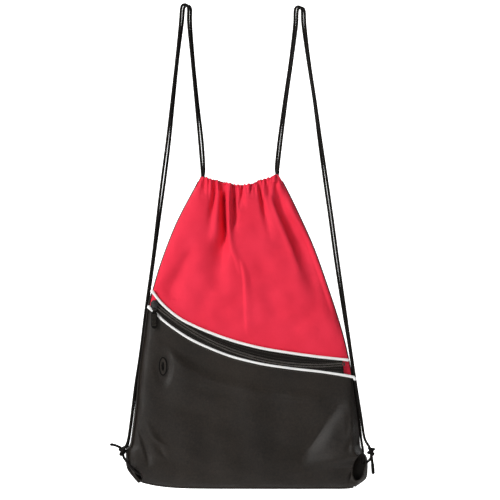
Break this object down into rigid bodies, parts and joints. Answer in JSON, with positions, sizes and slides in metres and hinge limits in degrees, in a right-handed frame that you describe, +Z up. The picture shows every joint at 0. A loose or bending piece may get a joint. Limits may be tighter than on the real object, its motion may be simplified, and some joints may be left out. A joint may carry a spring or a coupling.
{
  "type": "drawstring backpack",
  "caption": "Gathered drawstring backpack with a curved zipped front pocket, earphone port and doubled cord straps knotted at the bottom corners, hung by its straps.",
  "frame": {"origin": "between the tops of the two strap loops, where the pegs that hold the bag up are", "axes": "+Z up, from the bag's bottom edge to the strap loops; the zipped front faces -Y; +X is to the right as seen from the front"},
  "size_m": [0.3783, 0.0462, 0.6957],
  "materials": {
    "red_cloth": "plain woven polyester, soft sheen",
    "black_cloth": "plain woven polyester, matt",
    "white_piping": "corded piping, tightly woven",
    "zipper_tape": "herringbone zipper tape",
    "zipper_coil": "nylon coil",
    "slider_metal": "black lacquered zinc, rubbed at the edges",
    "rubber": "moulded soft rubber",
    "cord": "braided polyester cord"
  },
  "bodies": {
    "bag": {"front_panel": "red_cloth", "front_hem_channel": "red_cloth", "back_panel": "black_cloth", "back_hem_channel": "black_cloth", "pocket_panel": "black_cloth", "left_side_seam": "black_cloth", "right_side_seam": "black_cloth", "bottom_seam": "black_cloth", "left_corner_binding": "black_cloth", "right_corner_binding": "black_cloth", "upper_piping": "white_piping", "lower_piping": "white_piping", "upper_zipper_tape": "zipper_tape", "lower_zipper_tape": "zipper_tape", "upper_zipper_coil": "zipper_coil", "lower_zipper_coil": "zipper_coil", "zipper_end_stop": "slider_metal", "earphone_port": "rubber", "earphone_port_backing": "rubber", "left_cord": "cord", "right_cord": "cord", "left_knot": "cord", "right_knot": "cord", "left_cord_tail": "cord", "right_cord_tail": "cord", "right_cord_tip": "rubber"},
    "slider": {"zipper_slider": "slider_metal"},
    "link": {"pull_link": "slider_metal"},
    "pull": {"zipper_pull": "rubber"}
  },
  "joints": [
    {"name": "slider_travel", "type": "hinge", "parent": "bag", "child": "slider", "pos_m": [0.095, -0.0155, -0.165], "axis": [0, -1, 0], "range_deg": [0, 46.5]},
    {"name": "link_swivel", "type": "hinge", "parent": "slider", "child": "link", "pos_m": [-0.13737, -0.0196, -0.42673], "axis": [0, -1, 0], "range_deg": [-46.5, 0]},
    {"name": "pull_flip", "type": "hinge", "parent": "link", "child": "pull", "pos_m": [-0.13737, -0.0196, -0.43513], "axis": [-1, 0, 0], "range_deg": [0, 150]}
  ],
  "couplings": [
    {"joint": "link_swivel", "follows": "slider_travel", "ratio": -1}
  ]
}
